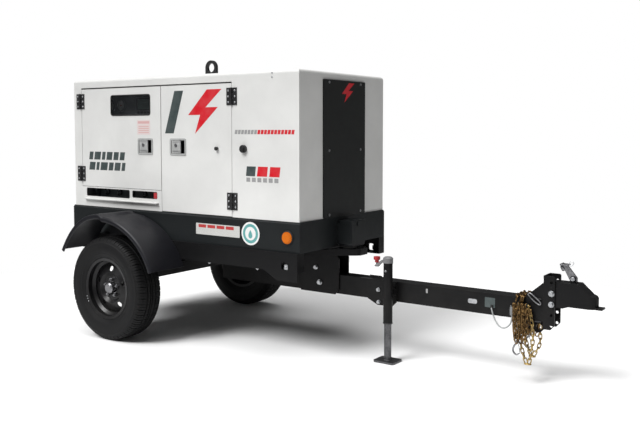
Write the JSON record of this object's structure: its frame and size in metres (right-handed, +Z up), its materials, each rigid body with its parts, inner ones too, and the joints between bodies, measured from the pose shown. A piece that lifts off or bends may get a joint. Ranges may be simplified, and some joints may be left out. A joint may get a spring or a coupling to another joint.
{
  "type": "towable diesel generator",
  "caption": "Enclosed diesel generator set on a single-axle trailer, with hinged service doors, a fuel-holding skid base, a swivel jack and a ball coupler on a central drawbar.",
  "frame": {"origin": "on the ground, at the middle of the whole outline from above", "axes": "+X forwards to the tow coupler, +Y to the trailer's left, +Z up"},
  "size_m": [3.73, 1.584, 1.89],
  "materials": {
    "frame_black": "semi-gloss black paint",
    "fender_black": "semi-gloss black paint",
    "canopy_white": "satin white powder coat",
    "tyre_rubber": "worn matte rubber",
    "rim_black": "gloss black paint",
    "zinc": "bright zinc plate",
    "lamp_lens": "ribbed lens",
    "chain_gold": "yellow zinc plate",
    "lead_grey": "flexible jacket",
    "plug_grey": "moulded plastic",
    "black_plastic": "fine texture",
    "window_glass": "smoked polycarbonate",
    "latch_grey": "satin cast zinc",
    "hinge_black": "black coat",
    "panel_grey": "satin dark grey",
    "engine_paint": "painted casting",
    "alternator_paint": "painted casting",
    "radiator_black": "black coated fins",
    "fan_plastic": "moulded nylon",
    "muffler_steel": "heat dulled steel",
    "stop_red": "glossy red"
  },
  "bodies": {
    "chassis": {"tongue_tube": "frame_black", "rail_right": "frame_black", "rail_left": "frame_black", "crossmembers": "frame_black", "draw_frame": "frame_black", "axle_beam": "frame_black", "fender_right": "fender_black", "fender_left": "fender_black", "lamps": "lamp_lens", "hitch_channel": "frame_black", "coupler": "frame_black", "fasteners": "zinc", "jack_mount": "frame_black", "light_lead": "lead_grey", "light_plug": "plug_grey", "skid_base": "frame_black", "document_box": "black_plastic", "roof": "canopy_white", "front_wall": "canopy_white", "rear_wall": "canopy_white", "panel_right": "canopy_white", "panel_left": "canopy_white", "outlet_panel": "canopy_white", "hinges": "hinge_black", "lifting_eye": "frame_black", "access_panel": "panel_grey", "engine_block": "engine_paint", "alternator": "alternator_paint", "radiator": "radiator_black", "muffler": "muffler_steel", "air_filter": "black_plastic", "battery": "black_plastic", "control_panel": "panel_grey"},
    "arm_right": {"torsion_arm_right": "frame_black"},
    "arm_left": {"torsion_arm_left": "frame_black"},
    "wheel_right": {"tyre_right": "tyre_rubber", "rim_right": "rim_black", "hub_right": "zinc"},
    "wheel_left": {"tyre_left": "tyre_rubber", "rim_left": "rim_black", "hub_left": "zinc"},
    "jack": {"jack_tube": "frame_black"},
    "jack_leg": {"jack_leg": "zinc"},
    "jack_crank": {"jack_handle": "zinc"},
    "coupler_latch": {"coupler_latch": "zinc"},
    "chain_right": {"chain_right": "chain_gold"},
    "chain_left": {"chain_left": "chain_gold"},
    "fuel_cap": {"fuel_cap": "black_plastic"},
    "document_lid": {"document_lid": "black_plastic"},
    "door_control": {"door_control": "canopy_white", "window": "window_glass"},
    "door_right": {"door_right": "canopy_white"},
    "door_left": {"door_left": "canopy_white"},
    "latch_control": {"latch_control": "latch_grey"},
    "latch_right": {"latch_right": "latch_grey"},
    "latch_left": {"latch_left": "latch_grey"},
    "fan": {"fan": "fan_plastic"},
    "emergency_stop": {"emergency_stop": "stop_red"},
    "key_switch": {"key_switch": "black_plastic"},
    "breaker_lever": {"breaker_lever": "black_plastic"}
  },
  "joints": [
    {"name": "suspension_right", "type": "hinge", "parent": "chassis", "child": "arm_right", "pos_m": [-1.01, -0.52, 0.44], "axis": [0, 1, 0], "range_deg": [-8, 14], "stiffness_Nm_per_rad": 8000, "springref_deg": -5.96},
    {"name": "wheel_spin_right", "type": "hinge", "parent": "arm_right", "child": "wheel_right", "pos_m": [-1.157, -0.68, 0.345], "axis": [0, 1, 0], "continuous": true},
    {"name": "suspension_left", "type": "hinge", "parent": "chassis", "child": "arm_left", "pos_m": [-1.01, 0.52, 0.44], "axis": [0, 1, 0], "range_deg": [-8, 14], "stiffness_Nm_per_rad": 8000, "springref_deg": -5.96},
    {"name": "wheel_spin_left", "type": "hinge", "parent": "arm_left", "child": "wheel_left", "pos_m": [-1.157, 0.68, 0.345], "axis": [0, 1, 0], "continuous": true},
    {"name": "jack_swivel", "type": "hinge", "parent": "chassis", "child": "jack", "pos_m": [0.628, -0.09, 0.416], "axis": [0, 1, 0], "range_deg": [0, 90]},
    {"name": "jack_crank", "type": "hinge", "parent": "jack", "child": "jack_crank", "pos_m": [0.628, -0.124, 0.6], "axis": [0, 0, 1], "range_deg": [-4320, 13680]},
    {"name": "jack_extend", "type": "slide", "parent": "jack", "child": "jack_leg", "axis": [0, 0, 1], "range_m": [-0.06, 0.19]},
    {"name": "coupler_latch", "type": "hinge", "parent": "chassis", "child": "coupler_latch", "pos_m": [1.704, 0, 0.6], "axis": [0, 1, 0], "range_deg": [0, 60]},
    {"name": "chain_swing_right", "type": "hinge", "parent": "chassis", "child": "chain_right", "pos_m": [1.472, -0.08, 0.437], "axis": [-1, 0, 0], "range_deg": [-4, 40]},
    {"name": "chain_swing_left", "type": "hinge", "parent": "chassis", "child": "chain_left", "pos_m": [1.472, 0.08, 0.437], "axis": [1, 0, 0], "range_deg": [-4, 40]},
    {"name": "fuel_cap_turn", "type": "hinge", "parent": "chassis", "child": "fuel_cap", "pos_m": [-0.2, 0.5, 0.77], "axis": [0, 1, 0], "range_deg": [0, 90]},
    {"name": "document_lid_hinge", "type": "hinge", "parent": "chassis", "child": "document_lid", "pos_m": [0.254, 0, 0.823], "axis": [0, -1, 0], "range_deg": [0, 85]},
    {"name": "door_control_hinge", "type": "hinge", "parent": "chassis", "child": "door_control", "pos_m": [-1.738, -0.487, 1.34], "axis": [0, 0, -1], "range_deg": [0, 120]},
    {"name": "door_right_hinge", "type": "hinge", "parent": "chassis", "child": "door_right", "pos_m": [-0.291, -0.487, 1.28], "axis": [0, 0, 1], "range_deg": [0, 120]},
    {"name": "door_left_hinge", "type": "hinge", "parent": "chassis", "child": "door_left", "pos_m": [-0.291, 0.487, 1.28], "axis": [0, 0, -1], "range_deg": [0, 120]},
    {"name": "latch_control_paddle", "type": "hinge", "parent": "door_control", "child": "latch_control", "pos_m": [-1.125, -0.477, 1.285], "axis": [0, 0, -1], "range_deg": [0, 35], "stiffness_Nm_per_rad": 0.6},
    {"name": "latch_right_paddle", "type": "hinge", "parent": "door_right", "child": "latch_right", "pos_m": [-0.816, -0.477, 1.285], "axis": [0, 0, -1], "range_deg": [0, 35], "stiffness_Nm_per_rad": 0.6},
    {"name": "latch_left_paddle", "type": "hinge", "parent": "door_left", "child": "latch_left", "pos_m": [-0.816, 0.477, 1.285], "axis": [0, 0, 1], "range_deg": [0, 35], "stiffness_Nm_per_rad": 0.6},
    {"name": "fan_spin", "type": "hinge", "parent": "chassis", "child": "fan", "pos_m": [-0.3, 0, 1.11], "axis": [1, 0, 0], "continuous": true},
    {"name": "emergency_stop_press", "type": "slide", "parent": "chassis", "child": "emergency_stop", "axis": [0, 1, 0], "range_m": [0, 0.006], "stiffness_N_per_m": 800},
    {"name": "key_switch_turn", "type": "hinge", "parent": "chassis", "child": "key_switch", "pos_m": [-1.19, -0.385, 1.4], "axis": [0, 1, 0], "range_deg": [0, 90]},
    {"name": "breaker_lever_throw", "type": "hinge", "parent": "chassis", "child": "breaker_lever", "pos_m": [-1.4, -0.373, 1.17], "axis": [1, 0, 0], "range_deg": [0, 56]}
  ],
  "couplings": [
    {"joint": "jack_extend", "follows": "jack_crank", "m_per_rad": 0.000795}
  ]
}
